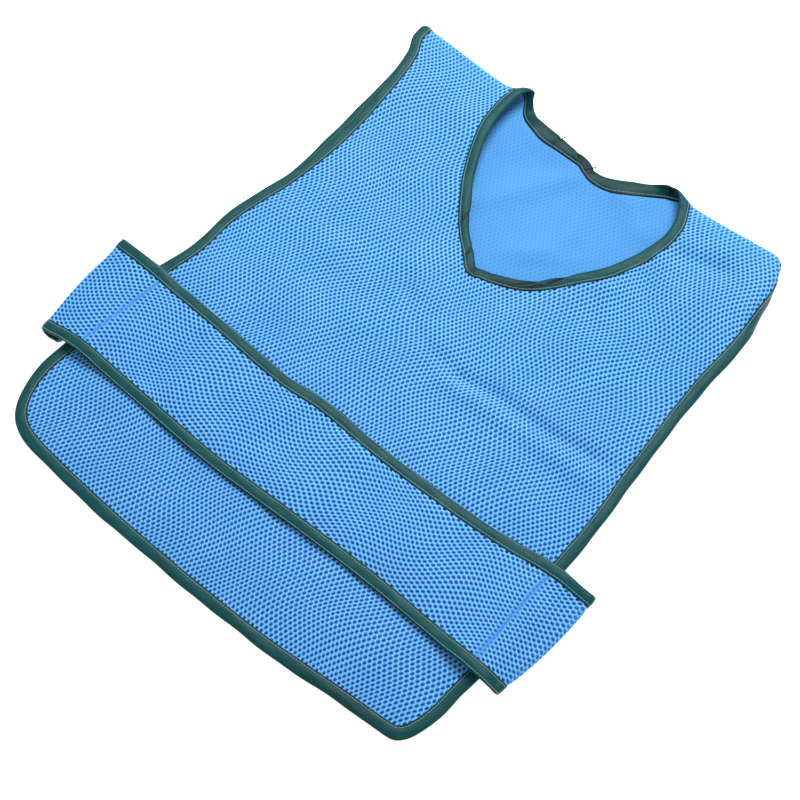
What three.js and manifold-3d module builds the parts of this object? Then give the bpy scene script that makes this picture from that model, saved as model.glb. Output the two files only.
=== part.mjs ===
// A restraint vest lying face up: a mesh front and back joined over the shoulders, folded tape on
// every cut edge, and a wide mesh band across the waist with a strap loop at each end.
// Millimetres, +Z up, +Y towards the neck. Flat cloth coordinates are (p, q): p across, q along.
import * as THREE from 'three';
import Module from 'manifold-3d';
import { mergeVertices } from 'three/addons/utils/BufferGeometryUtils.js';

const wasm = await Module();
wasm.setup();

// Cloth and tape
const cloth = 1.8; // thickness of the spacer mesh
const tape = { width: 11.5, half: 2.6, wall: 1, bend: 2, apex: 1.2 };
const tuck = 2.6; // the cloth's edge stops this far inside the tape's fold
const neckTuck = 4.5; // and this far at the neck, whose tape turns tighter corners
const gap = 0.3; // between pieces that meet end to end

// Heights of the layers' middles above the floor
const backEdge = 2.6;
const backSag = 1.7; // the back settles this much lower inside its tape
const backSettle = { from: 13.5, to: 45 }; // between these distances from its edge
const backNeckLevel = 20; // and not this close under the shoulder line
const frontEdge = 8.2;
const frontRise = 5; // the front stands this much higher inside its tape
const frontSwell = 40; // and rises that much over about this distance
const foldFade = { from: 5, to: 45 }; // the front's folds fade out between these distances from its edge
const bandLevel = 17.6;
const bandLift = 1.9; // over the layers at the body's sides
const bandClimb = { from: 195, to: 222 }; // between these distances out from the middle line

// The shoulder roll, where the front turns over to the back
const roll = { y: 281, radius: 8 };
const rollLength = Math.PI * roll.radius;
const seamQ = roll.y + rollLength;
const shoulderTop = backEdge + 2 * roll.radius;
const climb = { from: 110, to: 250 }; // the front climbs to the roll between these heights
// The shoulder line sags beside the neck: how much, and how far from the neck's middle it fades out
const shoulderSag = { depth: 6.5, middle: 9, near: 108, far: 225, below: 55, behind: 120 };

// Outer edge of the tape down both sides of the front, from the hem's corners to the shoulder
const frontSides = [
  { y: -246, left: -241, right: 237 },
  { y: -222, left: -244, right: 239 },
  { y: -196, left: -242, right: 241 },
  { y: -133, left: -236, right: 241 },
  { y: -81, left: -230, right: 240 },
  { y: -43, left: -222, right: 241 },
  { y: -7, left: -221, right: 240 },
  { y: 20, left: -217, right: 238 },
  { y: 65, left: -206, right: 237 },
  { y: 96, left: -201, right: 236 },
  { y: 137, left: -197, right: 236 },
  { y: 182, left: -196, right: 240 },
  { y: 227, left: -198, right: 239 },
  { y: 250, left: -202, right: 235 },
  { y: 268, left: -210, right: 231 },
  { y: 281, left: -211, right: 229 },
];
// Outer edge of the front's hem, from corner to corner
const frontHem = [
  { x: -231, y: -268 },
  { x: -219, y: -280 },
  { x: -201, y: -287 },
  { x: -162, y: -292 },
  { x: -62, y: -297 },
  { x: 73, y: -297 },
  { x: 163, y: -290 },
  { x: 206, y: -286 },
  { x: 224, y: -278 },
];
const backSides = [
  { y: -238, left: -234, right: 231 },
  { y: -196, left: -236, right: 235 },
  { y: -133, left: -232, right: 235 },
  { y: -81, left: -226, right: 234 },
  { y: -43, left: -219, right: 234 },
  { y: 20, left: -212, right: 232 },
  { y: 96, left: -205, right: 230 },
  { y: 182, left: -205, right: 230 },
  { y: 227, left: -205, right: 224 },
  { y: 268, left: -211, right: 212 },
];
const backHem = [
  { x: -212, y: -268 },
  { x: -180, y: -283 },
  { x: -62, y: -290 },
  { x: 73, y: -290 },
  { x: 180, y: -282 },
  { x: 218, y: -268 },
];
// Fold of the neck tape: down the front's left side, round the V and up the right side
const frontNeck = [
  { x: -84, y: 281 },
  { x: -84, y: 270 },
  { x: -84, y: 254 },
  { x: -82, y: 229 },
  { x: -72, y: 200 },
  { x: -57, y: 173 },
  { x: -40, y: 148 },
  { x: -31, y: 127 },
  { x: 0, y: 111 },
  { x: 27, y: 114 },
  { x: 48, y: 124 },
  { x: 70, y: 149 },
  { x: 87, y: 167 },
  { x: 102, y: 193 },
  { x: 111, y: 216 },
  { x: 114, y: 246 },
  { x: 104, y: 270 },
  { x: 102, y: 281 },
];
// And across the back, from right to left
const backNeck = [
  { x: 102, y: 281 },
  { x: 102, y: 278 },
  { x: 98, y: 275 },
  { x: 88, y: 275 },
  { x: 64, y: 275 },
  { x: 43, y: 270 },
  { x: 25, y: 267 },
  { x: 8, y: 272 },
  { x: -8, y: 273 },
  { x: -44, y: 275 },
  { x: -70, y: 275 },
  { x: -80, y: 275 },
  { x: -84, y: 278 },
  { x: -84, y: 281 },
];

// Above its tape the right shoulder's edge is turned under in a tight bend
const curl = { from: 238, to: 254, radius: 3, reach: 14, tapeEnd: 237 };

// Shares of the front's length and width where its grid has extra lines: in the tape and in the bend
const tapeShare = { side: 0.021, hem: 0.017 };
const bendShares = [0.9744, 0.9797, 0.985, 0.9902, 0.9955];

// Soft folds of the front: a ridge or dip along a line, with its half width and height
const frontFolds = [
  { x0: 78, y0: 27, x1: 222, y1: 31, width: 13, height: -3 },
  { x0: 92, y0: 52, x1: 222, y1: 56, width: 18, height: 2 },
  { x0: -190, y0: 58, x1: -95, y1: 58, width: 16, height: -2 },
  { x0: -35, y0: 60, x1: 0, y1: 58, width: 22, height: -2 },
  { x0: -18, y0: 112, x1: 45, y1: 112, width: 45, height: -4 },
];
// Dips across the waist band
const bandFolds = [
  { x0: -148, y0: -175, x1: -146, y1: -120, width: 20, height: -1.2 },
  { x0: 1, y0: -165, x1: 3, y1: -120, width: 18, height: -1 },
  { x0: 120, y0: -160, x1: 124, y1: -110, width: 30, height: 1 },
];

// Outer edges of the band's two tapes
const bandEdges = [
  { x: -276, lower: -200, upper: -82 },
  { x: -222, lower: -196, upper: -85 },
  { x: -152, lower: -199, upper: -88 },
  { x: -62, lower: -203, upper: -94 },
  { x: -17, lower: -202, upper: -91 },
  { x: 46, lower: -200, upper: -94 },
  { x: 118, lower: -199, upper: -94 },
  { x: 181, lower: -201, upper: -91 },
  { x: 232, lower: -203, upper: -86 },
  { x: 278, lower: -205, upper: -86 },
];
const bandMiddle = -143;
// The loops, by distance out from the middle line: where each fold starts at the band's middle and
// its slant along the band's width, and where the cross seam is
const loops = {
  left: { fold: 263, slant: 0.052, seam: 223 },
  right: { fold: 261, slant: 0.12, seam: 230 },
};
const droopFrom = 243; // past here the band droops to the loop's top
const loopTop = 15.5;
const loopFloor = 3;
const loopRadius = (loopTop - loopFloor) / 2;
const loopTurn = Math.PI * loopRadius;
const returnLevel = 13.9; // the folded-under end, over the body's edge
const returnRamp = { low: 252, high: 243 }; // it climbs there between these distances out
// How far the folded-under end narrows on each side as it comes back to the cross seam
const returnTaper = [
  { back: 0, inset: 0 },
  { back: 14, inset: 3 },
  { back: 24, inset: 9 },
  { back: 44, inset: 18 },
];
const seamRib = 1.6;

// How many steps each line is drawn in
const steps = {
  side: 23,
  hem: 18,
  roll: 6,
  backSide: 15,
  backHem: 12,
  frontNeck: 34,
  frontNeckCut: 28,
  backNeck: 24,
  bandLength: 24,
  bandWidth: 6,
  loop: 6,
};

const { clamp, lerp, smoothstep } = THREE.MathUtils;
const evenShares = (count) => Array.from({ length: count + 1 }, (_, i) => i / count);

// A column of a table at a value of another, on a smooth curve through its rows
function tableAt(rows, key, column, value) {
  const last = rows.length - 1;
  const at = clamp(value, rows[0][key], rows[last][key]);
  const i = clamp(rows.filter((row) => row[key] <= at).length - 1, 0, last - 1);
  const row = (k) => rows[clamp(k, 0, last)];
  const slope = (k) => (row(k + 1)[column] - row(k - 1)[column]) / (row(k + 1)[key] - row(k - 1)[key]);
  const span = row(i + 1)[key] - row(i)[key];
  const t = (at - row(i)[key]) / span;
  const bend = t * t * (3 - 2 * t);
  const start = row(i)[column] * (1 - bend) + row(i + 1)[column] * bend;
  return start + span * (slope(i) * t * (1 - t) ** 2 - slope(i + 1) * t * t * (1 - t));
}

function foldsAt(folds, x, y) {
  return folds.reduce((sum, fold) => {
    const run = new THREE.Vector2(fold.x1 - fold.x0, fold.y1 - fold.y0);
    const to = new THREE.Vector2(x - fold.x0, y - fold.y0);
    const along = clamp(to.dot(run) / run.lengthSq(), 0, 1);
    const away = to.addScaledVector(run, -along).length();
    return sum + fold.height * Math.exp(-((away / fold.width) ** 2));
  }, 0);
}

// Distance inside a panel's outline
function insideOf(sides, hem, x, y) {
  return Math.min(
    x - tableAt(sides, 'y', 'left', y),
    tableAt(sides, 'y', 'right', y) - x,
    y - tableAt(hem, 'x', 'y', x),
  );
}

function frontHeight(x, y) {
  const inside = insideOf(frontSides, frontHem, x, y);
  const high = smoothstep(y, climb.from, climb.to);
  const level = lerp(frontEdge, shoulderTop, high);
  const rise = frontRise * (1 - high) * (1 - Math.exp(-Math.max(inside - tape.width, 0) / frontSwell));
  const folds = foldsAt(frontFolds, x, y) * smoothstep(inside, foldFade.from, foldFade.to);
  return level + rise + folds * (1 - high);
}

function backHeight(x, y) {
  const fromNeck = roll.y - backNeckLevel - y;
  const inside = Math.min(insideOf(backSides, backHem, x, y), fromNeck);
  return backEdge - backSag * smoothstep(inside, backSettle.from, backSettle.to);
}

// Sideways place and drop of the flat cloth's point p in the row at q, where the edge turns under
function curled(p, q) {
  const start = tableAt(frontSides, 'y', 'right', q) - curl.reach;
  const past = p - start;
  const turn = Math.PI * smoothstep(q, curl.from, curl.to);
  if (past <= 0 || turn < 1e-3) return { x: p, drop: 0 };
  const bent = Math.PI * curl.radius;
  const radius = bent / turn;
  const angle = Math.min(past, bent) / radius;
  const straight = Math.max(past - bent, 0);
  return {
    x: start + radius * Math.sin(angle) + straight * Math.cos(angle),
    drop: radius * (1 - Math.cos(angle)) + straight * Math.sin(angle),
  };
}

function sagAt(p) {
  const away = Math.abs(p - shoulderSag.middle);
  return shoulderSag.depth * (1 - smoothstep(away, shoulderSag.near, shoulderSag.far));
}

// The vest's cloth as one surface: up the front, over the roll and down the back
function bodyPoint(p, q) {
  if (q > seamQ) {
    const back = q - seamQ;
    const y = roll.y - back - sagAt(p) * (1 - smoothstep(back, 0, shoulderSag.behind));
    return new THREE.Vector3(p, y, backHeight(p, y));
  }
  const { x, drop } = curled(p, q);
  const low = sagAt(x) * smoothstep(q, roll.y - shoulderSag.below, roll.y);
  if (q <= roll.y) return new THREE.Vector3(x, q - low, frontHeight(Math.min(p, x), q) - drop);
  const angle = (q - roll.y) / roll.radius;
  const reach = roll.radius - drop;
  return new THREE.Vector3(
    x,
    roll.y - low + reach * Math.sin(angle),
    backEdge + roll.radius + reach * Math.cos(angle),
  );
}

// Where a loop's fold starts, out from the middle line
const loopOf = (side) => (side < 0 ? loops.left : loops.right);
const foldStart = (side, q) => loopOf(side).fold + loopOf(side).slant * (q - bandMiddle);

function bandHeight(x, y) {
  const out = Math.abs(x);
  const lift = bandLift * smoothstep(out, bandClimb.from, bandClimb.to);
  const droop = (bandLevel + bandLift - loopTop) * smoothstep(out, droopFrom, foldStart(x, y));
  return bandLevel + lift - droop + foldsAt(bandFolds, x, y);
}

// The band as one surface: across the front, round each fold and back to the cross seam
function bandPoint(p, q) {
  const side = Math.sign(p) || 1;
  const start = foldStart(side, q);
  const past = Math.abs(p) - start;
  if (past <= 0) return new THREE.Vector3(p, q, bandHeight(p, q));
  if (past <= loopTurn) {
    const angle = past / loopRadius;
    const out = start + loopRadius * Math.sin(angle);
    return new THREE.Vector3(side * out, q, loopFloor + loopRadius * (1 + Math.cos(angle)));
  }
  const out = start - (past - loopTurn);
  const low = smoothstep(out, returnRamp.high, returnRamp.low);
  return new THREE.Vector3(side * out, q, lerp(returnLevel, loopFloor, low));
}

// Lines across the band. At each end those of the folded-under cloth go by their distance out, and
// those of the fold by their distance past its start. The rest are evenly between.
const returnFlat = 238;
const returnOuts = [returnFlat, returnRamp.high, (returnRamp.high + returnRamp.low) / 2, returnRamp.low];
const droopPasts = [-9, -18, -28, -40];
const foldPasts = [...evenShares(steps.loop).map((share) => loopTurn * (1 - share)), ...droopPasts];
const endLines = (side) => [
  ...[loopOf(side).seam, ...returnOuts].map((out) => ({ side, out })),
  ...foldPasts.map((past) => ({ side, past })),
];
const bandLines = [
  ...endLines(-1),
  ...evenShares(steps.bandLength).slice(1, -1).map((share) => ({ share })),
  ...endLines(1).reverse(),
];

// The flat place of one such line at q
function lineAt({ side, out, past, share }, q) {
  const start = (end) => foldStart(end, q);
  if (out) return side * (2 * start(side) + loopTurn - out);
  if (side) return side * (start(side) + past);
  return lerp(-start(-1) - foldPasts.at(-1), start(1) + foldPasts.at(-1), share);
}

// Where that line crosses the fold of the band's lower or upper tape, narrowed past the loop's fold
function edgeAt(line, edge) {
  const atFold = (side) => tableAt(bandEdges, 'x', edge, side * loopOf(side).fold);
  if (!line.side) return tableAt(bandEdges, 'x', edge, lineAt(line, bandMiddle));
  const across = line.side * (loopOf(line.side).fold + line.past);
  if (line.past < 0) return tableAt(bandEdges, 'x', edge, across);
  const q = atFold(line.side);
  const back = line.out ? foldStart(line.side, q) - line.out : 0;
  return q + tableAt(returnTaper, 'back', 'inset', back) * (edge === 'upper' ? -1 : 1);
}

const onBand = (line, q) => bandPoint(lineAt(line, q), q);

// A closed mesh from points and polygons, turned so that its faces look outward
function closedMesh(points, polygons) {
  const triangles = polygons.flatMap((polygon) =>
    polygon.slice(2).map((_, i) => [polygon[0], polygon[i + 1], polygon[i + 2]]),
  );
  const volume = triangles.reduce(
    (sum, [a, b, c]) => sum + points[a].dot(new THREE.Vector3().crossVectors(points[b], points[c])),
    0,
  );
  if (volume < 0) triangles.forEach((triangle) => triangle.reverse());
  const geometry = new THREE.BufferGeometry().setFromPoints(points);
  geometry.setIndex(triangles.flat());
  return geometry;
}

// A sheet of the cloth's thickness on a grid of middle points grid[row][column]
function sheetSolid(grid, thickness) {
  const rows = grid.length;
  const columns = grid[0].length;
  const normalAt = (r, c) => {
    const along = grid[Math.min(r + 1, rows - 1)][c].clone().sub(grid[Math.max(r - 1, 0)][c]);
    const across = grid[r][Math.min(c + 1, columns - 1)].clone().sub(grid[r][Math.max(c - 1, 0)]);
    return across.cross(along).normalize();
  };
  const face = (offset) =>
    grid.flatMap((line, r) => line.map((at, c) => at.clone().addScaledVector(normalAt(r, c), offset)));
  const points = [...face(thickness / 2), ...face(-thickness / 2)];
  const top = (r, c) => r * columns + c;
  const under = (r, c) => rows * columns + top(r, c);
  const polygons = [];
  for (let r = 0; r < rows - 1; r += 1) {
    for (let c = 0; c < columns - 1; c += 1) {
      polygons.push([top(r, c), top(r, c + 1), top(r + 1, c + 1), top(r + 1, c)]);
      polygons.push([under(r, c), under(r + 1, c), under(r + 1, c + 1), under(r, c + 1)]);
    }
  }
  const wall = (a, b) => polygons.push([top(...a), under(...a), under(...b), top(...b)]);
  for (let c = 0; c < columns - 1; c += 1) {
    wall([0, c], [0, c + 1]);
    wall([rows - 1, c + 1], [rows - 1, c]);
  }
  for (let r = 0; r < rows - 1; r += 1) {
    wall([r + 1, 0], [r, 0]);
    wall([r, columns - 1], [r + 1, columns - 1]);
  }
  return closedMesh(points, polygons);
}

// Half of the folded tape's section: distance in from its fold, and height, outside and inside
const tapeOutside = [
  [tape.width, tape.half],
  [tape.bend, tape.half],
  [0, 0],
  [tape.bend, -tape.half],
  [tape.width, -tape.half],
];
const tapeInside = [
  [tape.width, tape.half - tape.wall],
  [tape.bend + tape.wall / 2, tape.half - tape.wall],
  [tape.apex, 0],
  [tape.bend + tape.wall / 2, tape.wall - tape.half],
  [tape.width, tape.wall - tape.half],
];

// Folded tape along stations { edge, inward, normal }
function tapeSolid(stations, closed) {
  const count = tapeOutside.length;
  const points = stations.flatMap(({ edge, inward, normal }) =>
    [...tapeOutside, ...tapeInside].map(([reach, height]) =>
      edge.clone().addScaledVector(inward, reach).addScaledVector(normal, height),
    ),
  );
  const ring = 2 * count;
  const outside = (s, k) => (s % stations.length) * ring + k;
  const inside = (s, k) => outside(s, k) + count;
  const polygons = [];
  const spans = closed ? stations.length : stations.length - 1;
  for (let s = 0; s < spans; s += 1) {
    for (let k = 0; k < count - 1; k += 1) {
      polygons.push([outside(s, k), outside(s, k + 1), outside(s + 1, k + 1), outside(s + 1, k)]);
      polygons.push([inside(s, k), inside(s + 1, k), inside(s + 1, k + 1), inside(s, k + 1)]);
    }
    polygons.push([outside(s, 0), outside(s + 1, 0), inside(s + 1, 0), inside(s, 0)]);
    const k = count - 1;
    polygons.push([outside(s, k), inside(s, k), inside(s + 1, k), outside(s + 1, k)]);
  }
  if (!closed) {
    for (let k = 0; k < count - 1; k += 1) {
      const end = stations.length - 1;
      polygons.push([outside(0, k), inside(0, k), inside(0, k + 1), outside(0, k + 1)]);
      polygons.push([outside(end, k), outside(end, k + 1), inside(end, k + 1), inside(end, k)]);
    }
  }
  return closedMesh(points, polygons);
}

// Stations of a tape whose fold runs along a flat line, with the cloth on its left hand (turn 1)
// or right hand (turn -1)
function tapeStations(line, surface, turn, closed) {
  const last = line.length - 1;
  const at = (i) => (closed ? line[(i + line.length) % line.length] : line[clamp(i, 0, last)]);
  return line.map((point, i) => {
    const run = at(i + 1).clone().sub(at(i - 1)).normalize();
    const inFlat = new THREE.Vector2(-run.y, run.x).multiplyScalar(turn);
    const edge = surface(point.x, point.y);
    const deep = point.clone().addScaledVector(inFlat, tape.width);
    const inward = surface(deep.x, deep.y).sub(edge).normalize();
    const before = point.clone().addScaledVector(run, -1);
    const after = point.clone().addScaledVector(run, 1);
    const along = surface(after.x, after.y).sub(surface(before.x, before.y)).normalize();
    const normal = along.cross(inward).multiplyScalar(turn).normalize();
    return { edge, inward, normal };
  });
}

// A flat line moved sideways into the cloth
function insetLine(line, distance) {
  const last = line.length - 1;
  return line.map((point, i) => {
    const run = line[Math.min(i + 1, last)].clone().sub(line[Math.max(i - 1, 0)]).normalize();
    return point.clone().add(new THREE.Vector2(-run.y, run.x).multiplyScalar(distance));
  });
}

// Points on a smooth curve through flat points, at shares of its length
function alongCurve(points, shares) {
  const curve = new THREE.CatmullRomCurve3(points.map(({ x, y }) => new THREE.Vector3(x, y, 0)));
  curve.arcLengthDivisions = 2000;
  return shares.map((share) => curve.getPointAt(share)).map(({ x, y }) => new THREE.Vector2(x, y));
}

// Flat points between four edge lines that share their corners
function flatGrid(left, right, bottom, top) {
  const share = (line) => {
    const lengths = [0];
    for (let i = 1; i < line.length; i += 1) {
      lengths.push(lengths[i - 1] + line[i].distanceTo(line[i - 1]));
    }
    return lengths.map((length) => length / lengths.at(-1));
  };
  const across = share(bottom);
  const up = share(left);
  return left.map((_, r) =>
    bottom.map((__, c) => {
      const [u, v] = [across[c], up[r]];
      const topCorners = top[0].clone().lerp(top.at(-1), u);
      const corners = bottom[0].clone().lerp(bottom.at(-1), u).lerp(topCorners, v);
      return bottom[c].clone().lerp(top[c], v).add(left[r].clone().lerp(right[r], u)).sub(corners);
    }),
  );
}

function solidOf(geometry) {
  const plain = geometry.clone();
  plain.deleteAttribute('normal');
  plain.deleteAttribute('uv');
  const merged = mergeVertices(plain, 1e-4);
  const vertProperties = new Float32Array(merged.attributes.position.array);
  const triVerts = new Uint32Array(merged.index.array);
  return new wasm.Manifold(new wasm.Mesh({ numProp: 3, vertProperties, triVerts }));
}

function geometryOf(solid) {
  const mesh = solid.getMesh();
  const geometry = new THREE.BufferGeometry();
  geometry.setAttribute('position', new THREE.BufferAttribute(mesh.vertProperties, 3));
  geometry.setIndex(new THREE.BufferAttribute(mesh.triVerts, 1));
  return geometry;
}

// The cloth's neck hole cut straight through a panel, out past the shoulder line
function cutNeck(panel, flatNeck) {
  const past = roll.y + 4 * roll.radius;
  const neck = flatNeck.map((point) => bodyPoint(point.x, point.y));
  const outline = [...neck, { x: neck.at(-1).x, y: past }, { x: neck[0].x, y: past }];
  const depth = 4 * shoulderTop;
  const shape = new THREE.Shape(outline.map(({ x, y }) => new THREE.Vector2(x, y)));
  const hole = new THREE.ExtrudeGeometry(shape, { depth, bevelEnabled: false });
  hole.translate(0, 0, -depth / 2);
  return geometryOf(solidOf(panel).subtract(solidOf(hole)));
}

const column = (rows, side) => rows.map((row) => ({ x: row[side], y: row.y }));
const rollQ = evenShares(steps.roll).slice(1).map((share) => roll.y + (rollLength - gap) * share);
const backQ = (y) => seamQ + roll.y - y; // the back's flat place at a height
const inBack = (points) => points.map(({ x, y }) => new THREE.Vector2(x, backQ(y)));

// The tape's fold along the front: each side from the hem to the end of the roll, and the hem
const betweenShares = (from, to, count) => evenShares(count).map((share) => lerp(from, to, share));
const sideShares = [0, ...betweenShares(tapeShare.hem, 1, steps.side)];
const middleShares = betweenShares(tapeShare.side, bendShares[0], steps.hem);
const hemShares = [0, ...middleShares, ...bendShares.slice(1), 1];
const overRoll = (line) => [...line, ...rollQ.map((q) => new THREE.Vector2(line.at(-1).x, q))];
const frontLeft = overRoll(alongCurve([frontHem[0], ...column(frontSides, 'left')], sideShares));
const frontRight = overRoll(alongCurve([frontHem.at(-1), ...column(frontSides, 'right')], sideShares));
const frontBottom = alongCurve(frontHem, hemShares);

// And along the back, from its seam with the roll to its hem
const backShares = evenShares(steps.backSide);
const backHemShares = evenShares(steps.backHem);
const fromSeam = (line) => [new THREE.Vector2(line[0].x, seamQ + gap), ...line];
const backLine = (side, corner) =>
  fromSeam(inBack(alongCurve([...column(backSides, side).reverse(), corner], backShares)));
const backLeft = backLine('left', backHem[0]);
const backRight = backLine('right', backHem.at(-1));
const backBottom = inBack(alongCurve(backHem, backHemShares));

// Cloth inside the tape's fold, between two sides, a start and an end
function panelSheet(left, right, start, end) {
  left[0] = start[0].clone();
  right[0] = start.at(-1).clone();
  left[left.length - 1] = end[0].clone();
  right[right.length - 1] = end.at(-1).clone();
  const grid = flatGrid(left, right, start, end);
  return sheetSolid(grid.map((line) => line.map(({ x, y }) => bodyPoint(x, y))), cloth);
}

const straightLine = (from, to, shares) => shares.map((share) => from.clone().lerp(to, share));

function frontPanel() {
  const left = insetLine(frontLeft, -tuck);
  const right = insetLine(frontRight, tuck);
  const top = straightLine(left.at(-1), right.at(-1), hemShares);
  const sheet = panelSheet(left, right, insetLine(frontBottom, tuck), top);
  return cutNeck(sheet, insetLine(alongCurve(frontNeck, evenShares(steps.frontNeckCut)), -neckTuck));
}

function backPanel() {
  const left = insetLine(backLeft, -tuck);
  const right = insetLine(backRight, tuck);
  const seam = straightLine(left[0], right[0], backHemShares);
  const sheet = panelSheet(left, right, seam, insetLine(backBottom, -tuck));
  const neck = insetLine(alongCurve(backNeck, evenShares(steps.backNeck)), neckTuck);
  return cutNeck(sheet, inBack(neck).reverse());
}

function frontEdgeBinding() {
  const down = [...frontLeft].reverse();
  const up = frontRight.filter((point) => point.y < curl.tapeEnd);
  return tapeSolid(tapeStations([...down, ...frontBottom.slice(1), ...up.slice(1)], bodyPoint, 1));
}

function backEdgeBinding() {
  const up = [...backRight].reverse();
  return tapeSolid(tapeStations([...backLeft, ...backBottom.slice(1), ...up.slice(1)], bodyPoint, -1));
}

function neckBinding() {
  const front = alongCurve(frontNeck, evenShares(steps.frontNeck));
  const back = inBack(alongCurve(backNeck, evenShares(steps.backNeck)));
  const inner = evenShares(steps.roll).slice(1, -1);
  const right = straightLine(front.at(-1), back[0], inner);
  const left = straightLine(back.at(-1), front[0], inner);
  return tapeSolid(tapeStations([...front, ...right, ...back, ...left], bodyPoint, -1, true), true);
}

// The band's cloth, closed into loops by the ribs of its two cross seams
function waistBand() {
  const shares = evenShares(steps.bandWidth);
  const across = (line, tucked, share) =>
    lerp(edgeAt(line, 'lower') + tucked, edgeAt(line, 'upper') - tucked, share);
  const rows = shares.map((share) => bandLines.map((line) => onBand(line, across(line, tuck, share))));
  const ribs = [bandLines[0], bandLines.at(-1)].map((end) => {
    const inFromEnd = new THREE.Vector3(end.side * seamRib, 0, 0);
    const under = shares.map((share) => onBand(end, across(end, tape.width, share)).add(inFromEnd));
    const over = under.map(({ x, y }) => bandPoint(x, y));
    return solidOf(sheetSolid([under, over], seamRib));
  });
  return geometryOf(ribs.reduce((band, rib) => band.add(rib), solidOf(sheetSolid(rows, cloth))));
}

function waistBandBinding(edge) {
  const turn = edge === 'lower' ? 1 : -1;
  const folds = bandLines.map((line) => onBand(line, edgeAt(line, edge)));
  const stations = bandLines.map((line, i) => {
    const inward = onBand(line, edgeAt(line, edge) + turn * tape.width).sub(folds[i]).normalize();
    const along = folds[Math.min(i + 1, folds.length - 1)].clone().sub(folds[Math.max(i - 1, 0)]);
    return { edge: folds[i], inward, normal: along.cross(inward).multiplyScalar(turn).normalize() };
  });
  return tapeSolid(stations);
}

const meshLook = { color: 0x5fa9ee, roughness: 0.85, metalness: 0 };
const tapeLook = { color: 0x2c5a5c, roughness: 0.6, metalness: 0 };
const vest = new THREE.Group();

function addPiece(name, geometry, look) {
  const piece = new THREE.Mesh(geometry, new THREE.MeshStandardMaterial(look));
  piece.name = name;
  vest.add(piece);
}

addPiece('front_panel', frontPanel(), meshLook);
addPiece('back_panel', backPanel(), meshLook);
addPiece('neck_binding', neckBinding(), tapeLook);
addPiece('front_edge_binding', frontEdgeBinding(), tapeLook);
addPiece('back_edge_binding', backEdgeBinding(), tapeLook);
addPiece('waist_band', waistBand(), meshLook);
addPiece('waist_band_upper_binding', waistBandBinding('upper'), tapeLook);
addPiece('waist_band_lower_binding', waistBandBinding('lower'), tapeLook);

// The origin is on the floor under the middle of the whole
const whole = new THREE.Box3().setFromObject(vest);
const middle = whole.getCenter(new THREE.Vector3());
vest.position.set(-middle.x, -middle.y, -whole.min.z);

export default vest;
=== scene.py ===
# Looks for the mesh restraint vest: net panels with real holes, folded binding tape and its stitching.
# Sizes are in millimetres before the whole is centred, and flat cloth places are (p, q): p across, q along.
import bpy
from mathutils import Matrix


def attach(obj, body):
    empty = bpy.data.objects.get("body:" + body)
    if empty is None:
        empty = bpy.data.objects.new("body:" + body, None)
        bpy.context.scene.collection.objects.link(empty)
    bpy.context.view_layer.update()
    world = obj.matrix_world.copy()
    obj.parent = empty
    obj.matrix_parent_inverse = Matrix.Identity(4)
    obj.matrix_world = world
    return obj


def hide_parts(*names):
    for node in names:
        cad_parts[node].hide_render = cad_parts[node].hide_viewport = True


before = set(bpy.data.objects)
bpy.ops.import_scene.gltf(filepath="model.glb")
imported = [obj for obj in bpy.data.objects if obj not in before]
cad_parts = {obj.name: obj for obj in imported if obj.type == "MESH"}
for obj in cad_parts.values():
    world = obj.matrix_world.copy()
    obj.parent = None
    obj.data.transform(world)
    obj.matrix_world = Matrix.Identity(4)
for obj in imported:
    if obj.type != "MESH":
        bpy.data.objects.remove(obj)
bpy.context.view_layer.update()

import math

import bpy
import numpy as np
from mathutils import Vector
from mathutils.geometry import delaunay_2d_cdt

bpy.ops.object.select_all(action="DESELECT")

millimetre = 0.001
centring = np.array([-0.8, 3.26, 0.0])  # the frame's origin is under the middle of the whole

# The lie of the vest on the floor
body = {
    "backEdge": 2.6, "backSag": 1.7, "backSettle": (13.5, 45), "backNeckLevel": 20,
    "frontEdge": 8.2, "frontRise": 5.0, "frontSwell": 40, "foldFade": (5, 45),
    "tapeWidth": 11.5, "climb": (110, 250),
    "rollY": 281, "rollRadius": 8.0,
    "sagDepth": 6.5, "sagMiddle": 9, "sagFade": (108, 225), "sagBelow": 55, "sagBehind": 120,
    "curlRadius": 4.0, "curlReach": 21, "cornerRadius": 15,
    "leastReach": 0.8, "backFade": (-20, 30), "leastTurn": 1e-3,
}
body["rollLength"] = math.pi * body["rollRadius"]
body["seamQ"] = body["rollY"] + body["rollLength"]
body["shoulderTop"] = body["backEdge"] + 2 * body["rollRadius"]

# y, left and right outer edge of the front's tape
frontSides = np.array([
    (-246, -241, 237), (-222, -244, 239), (-196, -242, 241), (-133, -236, 241),
    (-81, -230, 240), (-43, -222, 241), (-7, -221, 240), (20, -217, 238),
    (65, -206, 237), (96, -201, 236), (137, -197, 236), (182, -196, 239.6),
    (227, -198, 239.2), (250, -202, 239.7), (268, -210, 239.6), (281, -211, 237),
], float)
# q and turn of the front's right edge, which rolls under towards the shoulder
curlTurns = np.array([
    (180, 0), (198, 0.2), (217, 0.8), (237, 1.15), (249, 1.35), (263, 1.9), (275, 2.9), (283, math.pi),
], float)
# x and y along the front's hem
frontHem = np.array([
    (-231, -268), (-219, -280), (-201, -287), (-162, -292), (-62, -297),
    (73, -297), (163, -290), (207, -286.8), (220, -283.5), (230, -271),
], float)
# y, left and right outer edge of the back's tape
backSides = np.array([
    (-238, -234, 231), (-196, -236, 235), (-133, -232, 235), (-81, -226, 234), (-43, -219, 234),
    (20, -212, 232), (96, -205, 230), (182, -205, 230), (227, -205, 224), (268, -211, 212),
], float)
backHem = np.array([(-212, -268), (-180, -283), (-62, -290), (73, -290), (180, -282), (218, -268)], float)
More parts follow.
